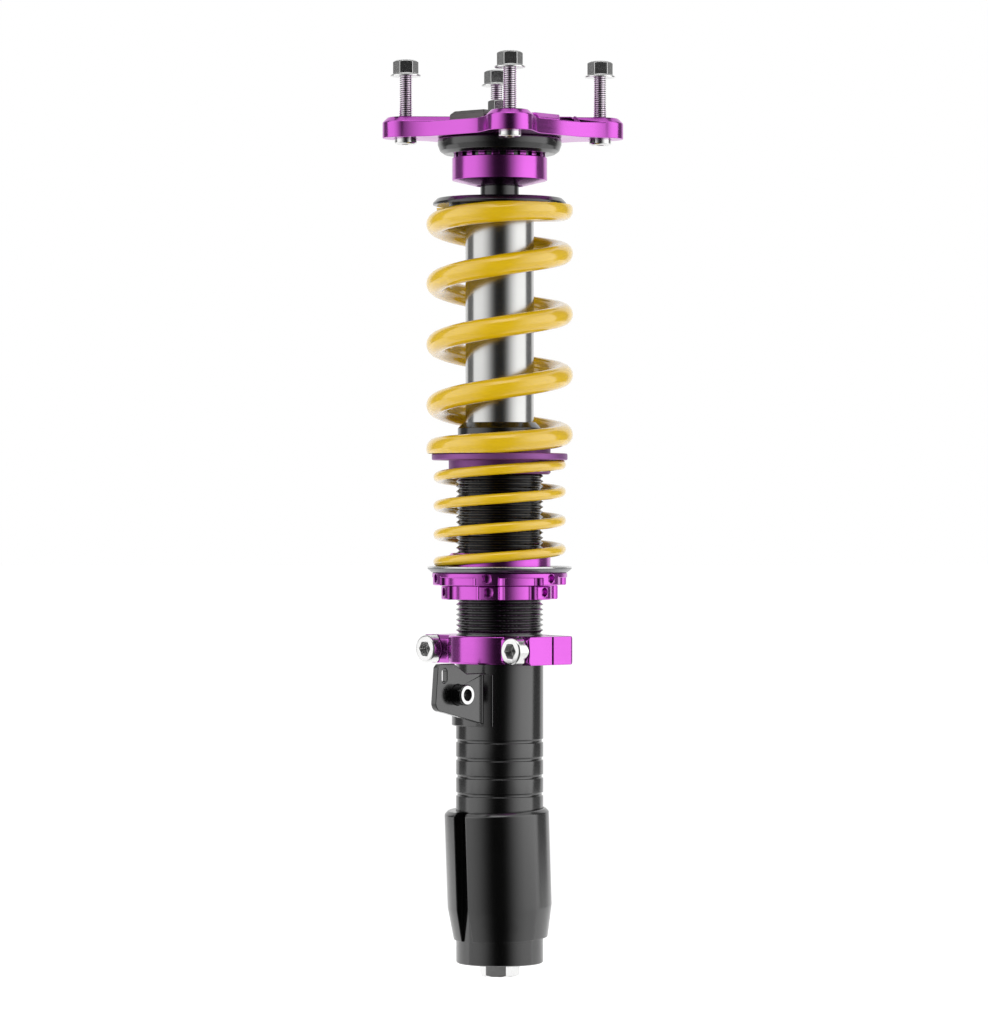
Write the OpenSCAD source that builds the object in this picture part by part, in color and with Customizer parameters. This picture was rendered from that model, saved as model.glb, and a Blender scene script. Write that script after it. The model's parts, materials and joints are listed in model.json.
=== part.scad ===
// Coilover strut with an upside-down damper, for a knuckle that clamps round its collar.
// The origin is on the strut's axis at the lower edge of the collar's clamping wall, +Z up.
// The strut tube stands still. The springs, the damper and the top mount move on it.

/* [Strut tube] */
// Wall of the strut tube, out to its thread's crests
tube_wall = 3.5; // [3.2:0.1:4.5]
// Wall of the guide bushes between the tube and the damper's cylinder
bush_wall = 2; // [1.5:0.1:3]
// Depth of the thread and of the marker grooves' roots below the crests
thread_depth = 1.5; // [1.2:0.1:1.7]
// Pitch of the ring thread
thread_pitch = 3; // [2:0.25:4]
// Length of the threaded stretch above the split clamp
thread_len = 106; // [100:0.5:110]
// Thickness of the closed base
base_t = 12.5; // [10:0.5:15]
// Length of plain tube below the collar, base included
tail_len = 14.5; // [13:0.5:18]
// Width of each marker groove
groove_w = 1.8; // [1:0.1:2.5]
// Depth of each marker groove
groove_depth = 0.8; // [0.4:0.1:1.2]
// Height of the first marker groove above the collar
groove_above_collar = 7.9; // [4:0.1:12]
// Spacing of the marker grooves
groove_pitch = 10.4; // [6:0.2:14]
// Number of marker grooves
groove_count = 4; // [1:1:5]

/* [Knuckle collar] */
// Wall of the collar round the tube, where the knuckle clamps
collar_wall = 5; // [4:0.25:6]
// Length of the clamping wall
collar_len = 54.5; // [48:0.5:58]
// Height of the tapered lead-in below the wall
collar_taper = 19; // [15:0.5:22]
// Wall left at the taper's lower end
collar_taper_wall = 2; // [1.5:0.1:3]
// Chamfer at the collar's top
collar_chamfer = 2; // [1:0.5:3]
// Angle that the collar leans by, towards the knuckle side
collar_lean = 2.5; // [0:0.25:3]
// Direction of the knuckle side round the strut, where the slot and the clamp's screws are
knuckle_side = 220; // [0:0.5:360]
// Width of the alignment slot
align_slot_w = 9; // [6:0.5:12]

/* [Foot bolt] */
// Size of the foot bolt's hex across its flats
foot_flats = 21; // [19:0.5:24]
// Height of the foot bolt's head
foot_head_h = 7.5; // [6:0.5:10]
// Diameter of the foot bolt's shank
foot_shank_d = 10; // [8:0.5:11]
// Length that the shank reaches into the rod
foot_grip = 20; // [12:1:30]

/* [Link bracket] */
// Direction that the bracket's plate points round the strut
bracket_side = 224; // [200:0.5:240]
// Thickness of the bracket's plate
bracket_t = 4; // [3:0.5:5]
// Distance of the plate's outer face from the strut's axis
bracket_offset = 10.25; // [8:0.25:14]
// Reach of the plate from the strut's axis
bracket_reach = 65.7; // [62:0.1:76]
// Height of the bracket's lowest edge above the collar
bracket_above_collar = 48.9; // [46:0.1:56]
// Distance of the boss's axis from the plate's outer end
boss_inset = 18.7; // [14:0.1:22]
// Width of the raised tab at the plate's outer end
tab_w = 11.6; // [8:0.1:14]
// Height of that tab above the rest of the plate
tab_h = 6.1; // [4:0.1:7]
// Thickness of the saddle pad round the tube
saddle_t = 2.5; // [1.5:0.25:4]
// Diameter of the boss
boss_d = 12; // [11:0.5:14]
// Length that the boss stands off the plate
boss_len = 7.5; // [4:0.5:12]
// Diameter of the boss's tapped hole, as drilled for M8
boss_hole_d = 6.8; // [5:0.1:8.5]
// Width of the clip slot in the plate
clip_slot_w = 4.5; // [3:0.25:5]
// Height of the clip slot
clip_slot_h = 8.6; // [6:0.2:9]

/* [Split clamp] */
// Height of the clamp above the collar
clamp_above_collar = 85; // [82:0.5:92]
// Height of the clamp
clamp_h = 16.5; // [16.5:0.5:20]
// Wall of the clamp's ring round the tube
clamp_wall = 4.5; // [4:0.25:6.5]
// Wall between the tube and each clamp screw's hole
clamp_screw_wall = 5.5; // [5:0.25:7.5]
// Length of each ear past its screw's axis
ear_past_screw = 8.5; // [8.5:0.25:11]
// Depth of the front ears, on the side of the screw heads
ear_front = 20; // [18:0.5:22]
// Depth of the rear ears
ear_rear = 17.5; // [15:0.5:20]
// Gap between the two halves
clamp_split = 1; // [0.5:0.1:2]
// Chamfer along the ears' edges
clamp_chamfer = 2.2; // [0.5:0.1:2.4]
// Diameter of the clamp screws' heads
clamp_head_d = 16; // [15:0.5:16.5]
// Height of the clamp screws' heads
clamp_head_h = 10; // [8:0.5:11]
// Length that each head stands proud of its ear
clamp_head_proud = 6.5; // [4:0.5:8]
// Diameter of the clamp screws' shanks
clamp_shank_d = 10; // [8:0.5:10]
// Hex socket of the clamp screws, across its flats
clamp_socket = 8; // [6:0.5:9]

/* [Threaded rings] */
// Height of the lock ring above the clamp
lock_above_clamp = 21; // [20:0.5:24]
// Wall of the lock ring, out to its lands
lock_wall = 8.8; // [8:0.1:10]
// Height of the lock ring
lock_h = 8; // [7:0.5:10]
// Wall of the adjuster ring's flange, out to its lands
adjuster_wall = 13.8; // [13:0.1:15]
// Height of the adjuster ring's flange
adjuster_h = 7.3; // [7:0.1:9]
// Wall of the adjuster's collar inside the helper spring
adjuster_collar_wall = 4; // [3:0.25:5]
// Height of that collar above the flange
adjuster_collar_h = 11.5; // [8:0.5:14]
// Depth of the spanner pockets
pocket_depth = 4; // [2:0.25:4.5]
// Number of spanner lands round each ring
land_count = 6; // [4:1:6]
// Half the angle that a land covers
land_half_angle = 9.5; // [8:0.5:12]
// Direction of the first land
land_at = 15.5; // [0:0.5:60]
// Diameter of the spanner holes
spanner_hole_d = 5; // [3:0.25:5.5]
// Depth of the spanner holes
spanner_hole_depth = 3.5; // [2:0.25:3.5]
// Height of the spanner holes above each ring's middle
spanner_rise = 0.5; // [0:0.1:0.8]
// Height of the full ring above the adjuster's pockets
adjuster_rim_h = 2.8; // [1.5:0.1:3.5]
// Width of the slip ring's lip outside the helper spring
slip_lip = 3.4; // [2.5:0.1:4.5]
// Height of the slip ring
slip_ring_h = 3.6; // [2.5:0.1:4]

/* [Helper spring] */
// Free length of the helper spring as fitted
helper_len = 62; // [60:0.5:66]
// Play between the adjuster's collar and the helper spring
helper_play = 3; // [2:0.25:4]
// Wire of the helper spring
helper_wire = 6; // [5:0.25:6.5]
// Turns of the helper spring
helper_turns = 4.5; // [4:0.25:5]
// Rise of one turn at the helper spring's closed ends
helper_end_lead = 3; // [2:0.25:4]

/* [Spring coupler] */
// Width of the coupler's lip outside the helper spring
coupler_lip = 0.9; // [0.5:0.1:2]
// Height of the coupler's flange
coupler_h = 3.9; // [3:0.1:5]
// Length of the coupler's lower collar
coupler_collar_len = 8.3; // [6:0.1:10]
// Length of the spigots inside the main spring's ends
spigot_len = 6.5; // [4:0.5:8]
// Wall of those spigots
spigot_wall = 4; // [3:0.25:5]

/* [Main spring] */
// Length of the main spring as fitted
main_len = 145.1; // [144:0.1:150]
// Play between the spigots and the main spring
main_play = 0.7; // [0.4:0.1:1.5]
// Wire of the main spring
main_wire = 12.5; // [11.5:0.1:12.7]
// Turns of the main spring
main_turns = 5.5; // [5:0.25:5.75]
// Rise of one turn at the main spring's closed ends
main_end_lead = 9.5; // [9.5:0.1:11]

/* [Damper] */
// Diameter of the polished cylinder
cylinder_d = 40; // [38:0.5:44]
// Wall of the cylinder
cylinder_wall = 2; // [1.8:0.1:2.5]
// Diameter of the piston rod
rod_d = 16; // [14:0.5:18]
// Travel of the damper under load
stroke = 80; // [60:1:84]
// Travel of the threaded rings down the tube
ride_travel = 18; // [10:0.5:18]
// Length of the bump stop
bump_len = 30; // [20:0.5:32]
// Diameter of the bump stop
bump_d = 34; // [28:0.5:36]
// Length of the rod guide
guide_len = 15.5; // [10:0.5:20]
// Height of the rod seal
seal_h = 5; // [3:0.5:8]
// Height of the seal's retainer
retainer_h = 2.5; // [2:0.25:5]
// Length of the rebound bumper on the rod
rebound_len = 10; // [6:0.5:12]
// Height of the piston
piston_h = 16; // [12:0.5:20]
// Height of one stack of valve shims
shims_h = 2.5; // [1.5:0.25:4]
// Height of the piston nut
piston_nut_h = 8; // [6:0.5:10]
// Diameter of the rod's threaded post through the piston
post_d = 10; // [8:0.5:12]
// Height of the floating piston
floating_h = 20; // [15:0.5:24]
// Length of the gas chamber above the floating piston
gas_len = 49; // [40:1:60]
// Depth of the end cap inside the cylinder
cap_plug_len = 16; // [12:0.5:20]
// Length of each guide bush
bush_len = 20; // [14:0.5:22]
// Length of cylinder below the lower bush at full droop
bush_lap = 50; // [40:1:60]
// Size of the piston nut across its flats
piston_nut_flats = 17; // [15:0.5:19]
// Diameter of the oil ports through the piston
port_d = 4; // [3:0.25:4.5]

/* [Gland] */
// Step from the tube's side in to the gland cap's
gland_step = 1; // [0.8:0.1:2]
// Height of the gland cap above the tube
gland_h = 18.3; // [16:0.1:20]
// Depth of the gland cap's spigot inside the tube
gland_plug = 10; // [8:0.5:10]
// Bevel at the gland cap's top
gland_bevel = 3.4; // [1:0.1:3.6]

/* [Upper seat and pin] */
// Distance of the upper seat's rim inside the main spring's outside
seat_inset = 4; // [3:0.25:5]
// Height of the upper spring seat's flange
seat_h = 4; // [3.5:0.1:5]
// Bevel round the seat's top
seat_bevel = 2.6; // [1:0.1:3]
// Diameter of the spacer between the seat and the bearing
spacer_d = 22.5; // [20:0.5:23.5]
// Length of that spacer
spacer_len = 8.1; // [7.6:0.1:10]
// Diameter of the top pin
pin_d = 14; // [12:0.5:14]
// Size of the hex on the pin's tip across its flats
tip_flats = 12; // [9:0.5:12]
// Length of the hex tip
tip_len = 9.4; // [6:0.1:12]
// Size of the pin nut across its flats
pin_nut_flats = 21; // [18:0.5:21]
// Height of the pin nut
pin_nut_h = 5.5; // [4:0.25:5.5]
// Thickness of the washer under the pin nut
pin_washer_h = 1.4; // [1:0.1:1.5]

/* [Swivel bearing] */
// Diameter of the swivel ball
ball_d = 30; // [28:0.5:31]
// Width of the swivel ball
ball_w = 17; // [16:0.5:18]
// Width of the race round the ball
race_w = 14; // [12:0.5:15]
// Least wall of the race, at the ball's middle
race_wall = 5; // [4:0.5:6]
// Wall of the bearing cup round the carrier's neck
cup_wall = 2.8; // [2.5:0.1:3.5]
// Height of the cup's floor below the race
cup_floor_h = 2.4; // [2:0.1:3]
// Height of the cup's conical underside
cup_cone_h = 3.2; // [2.4:0.1:4]
// Height of the castellated rim on the cup
rim_h = 2; // [1:0.25:3]
// Number of slots round that rim
rim_slots = 20; // [12:1:24]
// Width of each of those slots
rim_slot_w = 4; // [2:0.25:5]
// Wall of the carrier's neck, which screws into the cup
neck_wall = 5; // [4:0.5:6]
// Width of the carrier ring outside its neck
carrier_wall = 11.2; // [10:0.2:13]
// Height of the carrier ring
carrier_h = 9.1; // [9.1:0.1:11]
// Inset of the carrier ring's lower edge
carrier_inset = 4; // [1:0.25:5]
// Largest tilt of the swivel bearing
tilt_limit = 8; // [4:0.5:8]

/* [Top plate] */
// Distance of each stud from the top plate's centre
stud_at = 57; // [56:0.5:60]
// Radius of the top plate's lobes
lobe_r = 13.6; // [12:0.1:14.5]
// Height of the lower tier
lower_tier_h = 8.7; // [8:0.1:10]
// Height of the upper tier's pads
upper_tier_h = 3.5; // [3.3:0.1:5]
// Chamfer along the pads' top edges
pad_chamfer = 3; // [1:0.1:3.2]
// Distance from each stud back to the corners where its lobe meets the plate's diagonal edges
corner_back = 13; // [11:0.5:15]
// Distance of those corners from the lobe's middle line
corner_near = 18; // [16:0.5:20]
// Width of the channel that the camber slider runs in
channel_w = 27.2; // [26:0.2:30]
// Width of the slot that the pin and the slider's screws pass through
plate_slot_w = 19; // [18:0.5:20]
// Width of the relief milled beside two of the pads
relief_w = 9; // [4:0.5:10]
// Distance from each stud back to that relief
relief_back = 26; // [23:0.5:29]
// Offset of the top plate from the strut's axis along the slider, as set
camber_offset = 3; // [0:0.1:6]
// Largest offset of the top plate either way
camber_limit = 8; // [6:0.5:9]

/* [Camber slider] */
// Length of the slider
slider_len = 58; // [54:0.5:64]
// Height of the slider
slider_h = 6; // [5:0.25:8]
// Chamfer round the slider's top
slider_chamfer = 2; // [0.5:0.25:2.5]
// Distance of the slider's screws from its middle, along it
slider_screw_along = 21.5; // [21:0.5:23]
// Distance of the slider's screws from its middle line
slider_screw_across = 5; // [4.6:0.1:5.5]
// Diameter of the slider's screws
slider_screw_d = 5; // [4:0.5:5]
// Diameter of the slider screws' countersunk heads
slider_head_d = 9.2; // [8:0.2:9.2]

/* [Studs and nuts] */
// Diameter of the studs
stud_d = 8; // [7:0.5:8]
// Diameter of the studs' shanks inside the plate and the nuts
stud_shank_d = 7.2; // [6:0.1:7.4]
// Free length of each stud between the plate and its nut
stud_free = 24; // [18:0.5:32]
// Diameter of the stud screws' heads
stud_head_d = 13; // [12:0.5:14]
// Height of the stud screws' heads
stud_head_h = 8; // [6:0.5:9]
// Length of each head below the plate
stud_head_proud = 3.4; // [2:0.1:6]
// Size of the nuts across their flats
nut_flats = 13; // [12:0.5:14]
// Height of the nuts
nut_h = 9.5; // [8:0.5:12]
// Diameter of the nuts' flanges
nut_flange_d = 17.9; // [16:0.1:19]
// Thickness of the nuts' flanges
nut_flange_h = 1.8; // [1:0.1:3]

/* [Hidden] */
$fn = 96;

// Clearances
running = 0.05;       // between a shaft and the bore it turns or slides in
loose = 0.3;          // between curved faces that only pass each other
face_gap = 0.1;       // between flat faces that slide on each other
tapped = 0.05;        // between a thread drawn plain and its hole
past = 1;             // how far a cut runs past the faces it opens

// Heights up the strut tube
tail_z = -collar_taper - tail_len;
floor_z = tail_z + base_t;
collar_top = collar_len + collar_chamfer;
bracket_z = collar_top + bracket_above_collar;
clamp_z = collar_top + clamp_above_collar;
thread_z = clamp_z + clamp_h;
tube_top = thread_z + thread_len;

// Heights of the rings, the springs and the upper seat
lock_z = thread_z + lock_above_clamp;
adjuster_z = lock_z + lock_h + loose;
slip_z = adjuster_z + adjuster_h + face_gap;
helper_z = slip_z + slip_ring_h;
coupler_z = helper_z + helper_len;
main_z = coupler_z + coupler_h;
seat_z = main_z + main_len;
seat_top = seat_z + seat_h;

// Heights inside the damper, at full droop
cylinder_z = floor_z + bump_len + 2 + stroke + ride_travel;
seal_z = cylinder_z + retainer_h;
guide_z = seal_z + seal_h;
rebound_z = guide_z + guide_len + loose;
shoulder_z = rebound_z + rebound_len + 1;
piston_z = shoulder_z + shims_h;
upper_shims_z = piston_z + piston_h;
piston_nut_z = upper_shims_z + shims_h;
post_top = piston_nut_z + piston_nut_h + 2;
cap_flange_h = 4.3;
cylinder_top = seat_z - cap_flange_h;
floating_z = cylinder_top - cap_plug_len - gas_len - floating_h;

// Heights of the top mount
ball_z = seat_top + spacer_len + face_gap;
pivot_z = ball_z + ball_w / 2;
washer_z = ball_z + ball_w + face_gap;
pin_nut_z = washer_z + pin_washer_h;
race_z = pivot_z - race_w / 2;
cup_z = race_z - cup_floor_h;
neck_lip_h = 2;
neck_z = pivot_z - face_gap;
cup_top = race_z + race_w + neck_lip_h;
carrier_top = cup_top + carrier_h;
plate_z = carrier_top + 2 * face_gap;
tier_z = plate_z + lower_tier_h;
plate_top = tier_z + upper_tier_h;
slider_z = tier_z + 2 * face_gap;
slider_top = slider_z + slider_h;
pin_top = slider_z + 4;
nut_z = plate_top + stud_free;

// Diameters, from the damper's cylinder outwards
cylinder_bore = cylinder_d - 2 * cylinder_wall;
tube_bore = cylinder_d + 2 * bush_wall;
tube_d = tube_bore + 2 * tube_wall;
gland_d = tube_d - 2 * gland_step;
collar_d = tube_d + 2 * collar_wall;
collar_taper_d = tube_d + 2 * collar_taper_wall;
clamp_d = tube_d + 2 * clamp_wall;
bore_over_thread = tube_d + 2 * loose;
lock_d = bore_over_thread + 2 * lock_wall;
adjuster_d = bore_over_thread + 2 * adjuster_wall;
adjuster_collar_d = bore_over_thread + 2 * adjuster_collar_wall;
slip_bore = adjuster_collar_d + 2 * loose;
helper_d = adjuster_collar_d + 2 * helper_play + 2 * helper_wire;
slip_ring_d = helper_d + 2 * slip_lip;
coupler_d = helper_d + 2 * coupler_lip;
spigot_d = bore_over_thread + 2 * spigot_wall;
main_d = spigot_d + 2 * main_play + 2 * main_wire;
seat_d = main_d - 2 * seat_inset;

// Distances of the clamp's screws and of its ears' ends from the strut's axis
clamp_screw_at = tube_d / 2 + clamp_screw_wall + clamp_shank_d / 2;
ear_reach = clamp_screw_at + ear_past_screw;

// Diameters of the bearing, from the ball outwards
race_d = ball_d + 2 * race_wall;
neck_d = race_d + 2 * neck_wall;
cup_d = neck_d + 2 * cup_wall;
carrier_d = neck_d + 2 * carrier_wall;
// the cup's mouth clears the ball, and the spacer at full tilt
mouth_r = max(sqrt(pow(ball_d / 2, 2) - pow(race_w / 2, 2)) + loose,
              spacer_d / 2 / cos(tilt_limit) + (pivot_z - cup_z) * tan(tilt_limit) + 2 * loose);

// Places on the top mount
corner_far = stud_at - corner_back;
relief_at = stud_at - relief_back;
slider_w = channel_w - 2 * loose;
nut_sweep = pin_nut_flats / cos(30) / 2 + (pin_nut_z + pin_nut_h - pivot_z) * sin(tilt_limit);
carrier_bore = 2 * (nut_sweep + 2 * loose);
pin_swing = (slider_top - pivot_z) * sin(tilt_limit);
// the slot's round ends clear the slider's screws at the limits of the slide
slot_end_r = plate_slot_w / 2;
slot_end_at = slider_screw_along + camber_limit
    - sqrt(pow(slot_end_r - slider_screw_d / 2 - 2 * loose, 2) - pow(slider_screw_across, 2));
plate_slot_len = 2 * (slot_end_at + slot_end_r);
camber_turn = 45;      // the slider runs between two pairs of lobes
plate_turns = [0, 90, 180, 270];

// ---- Shared shapes ----

// A plain ring from height z, h tall
module ring(z, h, d, bore) {
    translate([0, 0, z]) difference() {
        cylinder(h = h, d = d);
        translate([0, 0, -past]) cylinder(h = h + 2 * past, d = bore);
    }
}

// A hex prism of a given size across its flats
module hex(flats, h) {
    cylinder(h = h, d = flats / cos(30), $fn = 6);
}

// A hex prism whose top corners are cut round, as a nut's or a bolt head's are
module turned_hex(flats, h, chamfer) {
    corner_r = flats / cos(30) / 2;
    intersection() {
        hex(flats, h);
        union() {
            cylinder(h = h - chamfer, r = corner_r);
            translate([0, 0, h - chamfer]) cylinder(h = chamfer, r1 = corner_r, r2 = corner_r - 2 * chamfer);
        }
    }
}

// A socket screw along +Z: its head's outer face is at 0, its shank runs on from the head
module socket_screw(head_d, head_h, shank_d, shank_len, socket) {
    difference() {
        union() {
            cylinder(h = 0.8, d1 = head_d - 1.6, d2 = head_d);
            translate([0, 0, 0.8]) cylinder(h = head_h - 0.8, d = head_d);
            translate([0, 0, head_h]) cylinder(h = shank_len, d = shank_d);
        }
        translate([0, 0, -past]) hex(socket, head_h * 0.55 + past);
    }
}

// A flat shape with round ends, len end to end and w wide, along X
module obround(len, w) {
    square([len - w, w], center = true);
    for (side = [-1, 1]) translate([side * (len - w) / 2, 0]) circle(d = w);
}

// ---- Springs ----

// Turns that a spring's lead has grown by at u turns, where it grows between from and to
function grown(u, from, to) =
    u <= from ? 0 :
    u >= to ? u - (from + to) / 2 :
    let (t = (u - from) / (to - from)) (to - from) * (pow(t, 3) - pow(t, 4) / 2);

// Height of the wire's centre above its start, for a spring with closed ends
function wire_rise(u, turns, end_lead, extra, from, to) =
    u < turns / 2
        ? end_lead * u + extra * grown(u, from, to)
        : end_lead * turns + extra * (turns - from - to)
            - end_lead * (turns - u) - extra * grown(turns - u, from, to);

// Rings of points along the wire, ground flat at the spring's two ends
function wire_points(r, wire, len, turns, end_lead, sink, from, to, sides, start) =
    let (rise = len + 2 * sink - wire,
         extra = (rise - end_lead * turns) / (turns - from - to),
         steps = round(turns * rings_per_turn))
    [for (i = [0 : steps]) let (u = i / rings_per_turn, a = start + 360 * u,
         z = wire / 2 - sink + wire_rise(u, turns, end_lead, extra, from, to))
        [for (k = [0 : sides - 1]) let (b = 360 * k / sides, out = r + wire / 2 * cos(b))
            [out * cos(a), out * sin(a), min(len, max(0, z + wire / 2 * sin(b)))]]];

// One unbroken tube through rings of points
module wire_tube(rings) {
    n = len(rings[0]);
    last = len(rings) - 1;
    points = [for (ring = rings) for (p = ring) p];
    walls = [for (i = [0 : last - 1]) for (k = [0 : n - 1]) let (m = (k + 1) % n)
        each [[i * n + k, (i + 1) * n + k, (i + 1) * n + m],
              [i * n + k, (i + 1) * n + m, i * n + m]]];
    ends = [for (k = [1 : n - 2]) each [[0, k, k + 1], [last * n, last * n + k + 1, last * n + k]]];
    polyhedron(points = points, faces = concat(walls, ends), convexity = 10);
}

// Least gap between a spring's turns, on its own points
function least_gap(rings, sides) =
    min([for (i = [0 : len(rings) - 1 - rings_per_turn]) for (k = [0 : sides - 1])
        for (m = [0 : sides - 1]) norm(rings[i][k] - rings[i + rings_per_turn][m])]);

rings_per_turn = 24;
spring_start = -4.5;   // direction of the springs' lower tips
main_sides = 10;
helper_sides = 8;
main_rings = wire_points((main_d - main_wire) / 2, main_wire, main_len, main_turns, main_end_lead,
                         8.1, 0.5, 1.3, main_sides, spring_start);
helper_rings = wire_points((helper_d - helper_wire) / 2, helper_wire, helper_len, helper_turns,
                           helper_end_lead, 2.3, 0.3, 0.8, helper_sides, spring_start);
echo(least_gap_main_spring = least_gap(main_rings, main_sides));
echo(least_gap_helper_spring = least_gap(helper_rings, helper_sides));

module main_spring() {
    color("gold") translate([0, 0, main_z]) wire_tube(main_rings);
}

module helper_spring() {
    color("gold") translate([0, 0, helper_z]) wire_tube(helper_rings);
}

// ---- Strut tube and what is fixed to it ----

// Half outline of the threaded stretch, as [radius, height] from its top down
function thread_outline() =
    let (count = floor((thread_len - 2) / thread_pitch), r = tube_d / 2)
    [for (i = [count - 1 : -1 : 0]) let (z = thread_z + i * thread_pitch)
        each [[r, z + thread_pitch * 0.95], [r - thread_depth, z + thread_pitch * 0.6],
              [r - thread_depth, z + thread_pitch * 0.4], [r, z + thread_pitch * 0.05]]];

module strut_tube() {
    color([0.09, 0.09, 0.1]) difference() {
        rotate_extrude() polygon(concat(
            [[0, tail_z], [0, tube_top], [tube_d / 2 - 1, tube_top], [tube_d / 2, tube_top - 1]],
            thread_outline(),
            [[tube_d / 2, tail_z + 0.8], [tube_d / 2 - 0.8, tail_z]]));
        translate([0, 0, floor_z]) cylinder(h = tube_top - floor_z + past, d = tube_bore);
        translate([0, 0, tail_z - past]) cylinder(h = base_t + 2 * past, d = foot_shank_d + 2 * loose);
        for (i = [0 : groove_count - 1])
            ring(collar_top + groove_above_collar + groove_pitch * i, groove_w,
                 tube_d + 2, tube_d - 2 * groove_depth);
    }
}

// The collar leans about the origin, so its clamping wall starts there
module collar_lean_frame() {
    rotate([0, 0, knuckle_side]) rotate([0, collar_lean, 0]) children();
}

module knuckle_collar() {
    r = collar_d / 2;
    color([0.09, 0.09, 0.1]) difference() {
        collar_lean_frame() rotate_extrude() polygon([
            [0, -collar_taper], [collar_taper_d / 2, -collar_taper], [r, 0], [r, collar_len],
            [r - collar_chamfer, collar_top], [0, collar_top]]);
        translate([0, 0, -collar_taper - 2 * past])
            cylinder(h = collar_top + collar_taper + 4 * past, d = tube_d);
        rotate([0, 0, knuckle_side]) translate([0, -align_slot_w / 2, -collar_taper - 4 * past])
            cube([collar_d, align_slot_w, collar_top + collar_taper + 8 * past]);
    }
}

module foot_bolt() {
    color("silver") translate([0, 0, tail_z]) {
        rotate([0, 0, 43.5]) rotate([180, 0, 0]) turned_hex(foot_flats, foot_head_h, 0.8);
        cylinder(h = base_t + foot_grip, d = foot_shank_d);
    }
}

// Children are drawn on the bracket's plate: X runs outwards from the strut, Y up, Z out of its outer face
module on_bracket_plate() {
    rotate([0, 0, bracket_side]) translate([0, bracket_offset, 0]) rotate([90, 0, 180])
        mirror([1, 0, 0]) children();
}

// Outline of the plate as [distance outwards, height]
module bracket_outline() {
    low = bracket_z;
    top = clamp_z + 1.3;
    step = top - tab_h;
    corner = 5;
    in = tube_d / 2 - 4;
    tab_end = bracket_reach - 3.9;
    difference() {
        union() {
            polygon([[in, low + 1], [bracket_reach - corner - 1, low + 9.8], [bracket_reach, low + 15],
                     [bracket_reach - 1.9, top - 2], [tab_end, top], [tab_end - tab_w, top],
                     [tab_end - tab_w - 1.7 * tab_h, step], [in, step]]);
            translate([bracket_reach - corner, low + 15]) circle(r = corner);
        }
        translate([tab_end - 3.5, top - 2.5 - clip_slot_h / 2]) rotate(90)
            obround(clip_slot_h, clip_slot_w);
    }
}

boss_out = bracket_reach - boss_inset;
boss_z = bracket_z + 19.4;

module link_bracket() {
    low = bracket_z;
    pad_r = tube_d / 2 + saddle_t;
    color([0.1, 0.1, 0.11]) difference() {
        union() {
            on_bracket_plate() translate([0, 0, -bracket_t]) linear_extrude(bracket_t) bracket_outline();
            // the saddle pad that carries the plate round the tube
            rotate([0, 0, bracket_side + 30]) rotate([0, 0, -99]) translate([0, 0, low])
                rotate_extrude(angle = 103) square([pad_r, clamp_z - 5.5 - low]);
        }
        translate([0, 0, low - 2 * past]) cylinder(h = clamp_z - low + 4 * past, d = tube_d);
        on_bracket_plate() translate([boss_out, boss_z, -bracket_t - past])
            cylinder(h = bracket_t + 2 * past, d = boss_d);
    }
}

module bracket_boss() {
    color([0.1, 0.1, 0.11]) on_bracket_plate() translate([boss_out, boss_z, -bracket_t]) difference() {
        union() {
            cylinder(h = bracket_t + boss_len - 0.5, d = boss_d);
            translate([0, 0, bracket_t + boss_len - 0.5]) cylinder(h = 0.5, d1 = boss_d, d2 = boss_d - 1);
        }
        translate([0, 0, -past]) cylinder(h = bracket_t + boss_len + 2 * past, d = boss_hole_d);
    }
}

// ---- Split clamp: local +X runs along the ears, local -Y faces the knuckle side ----

module clamp_frame() {
    rotate([0, 0, knuckle_side + 90]) translate([0, 0, clamp_z]) children();
}

// One pair of ears as a bar with its long edges chamfered; depth runs from the split to the ears' face
module ear_bar(depth) {
    c = clamp_chamfer;
    rotate([90, 0, 90]) translate([0, 0, -ear_reach]) linear_extrude(2 * ear_reach)
        polygon([[0, 0], [depth - c, 0], [depth, c], [depth, clamp_h - c], [depth - c, clamp_h], [0, clamp_h]]);
}

// One half of the clamp, on the +Y side of the split
module clamp_half(depth, corner) {
    difference() {
        union() {
            intersection() {
                ear_bar(depth);
                linear_extrude(clamp_h) union() {
                    square([2 * (ear_reach - corner), 2 * depth], center = true);
                    square([2 * ear_reach, 2 * (depth - corner)], center = true);
                    for (side = [-1, 1]) translate([side * (ear_reach - corner), depth - corner])
                        circle(r = corner);
                }
            }
            rotate_extrude() polygon([[0, 0], [clamp_d / 2 - 0.8, 0], [clamp_d / 2, 0.8],
                [clamp_d / 2, clamp_h - 0.8], [clamp_d / 2 - 0.8, clamp_h], [0, clamp_h]]);
        }
        translate([0, 0, -past]) cylinder(h = clamp_h + 2 * past, d = tube_d);
        translate([-2 * ear_reach, -4 * ear_reach + clamp_split / 2, -past])
            cube([4 * ear_reach, 4 * ear_reach, clamp_h + 2 * past]);
    }
}

clamp_head_y = ear_front + clamp_head_proud;
clamp_shank_len = clamp_head_y - clamp_head_h + ear_rear - 4;

// Children run along each clamp screw's axis, from its head's outer face
module at_clamp_screws() {
    for (side = [-1, 1]) translate([side * clamp_screw_at, -clamp_head_y, clamp_h / 2])
        rotate([-90, 0, 0]) children();
}

module clamp_front() {
    color([0.56, 0.2, 0.66]) clamp_frame() difference() {
        rotate([0, 0, 180]) clamp_half(ear_front, 2);
        at_clamp_screws() {
            translate([0, 0, -past]) cylinder(h = clamp_head_h + past, d = clamp_head_d + 2 * loose);
            cylinder(h = clamp_head_y, d = clamp_shank_d + 2 * loose);
        }
    }
}

module clamp_rear() {
    color([0.56, 0.2, 0.66]) clamp_frame() difference() {
        clamp_half(ear_rear, 3);
        at_clamp_screws() cylinder(h = clamp_head_h + clamp_shank_len + 1, d = clamp_shank_d + 2 * tapped);
    }
}

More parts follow.
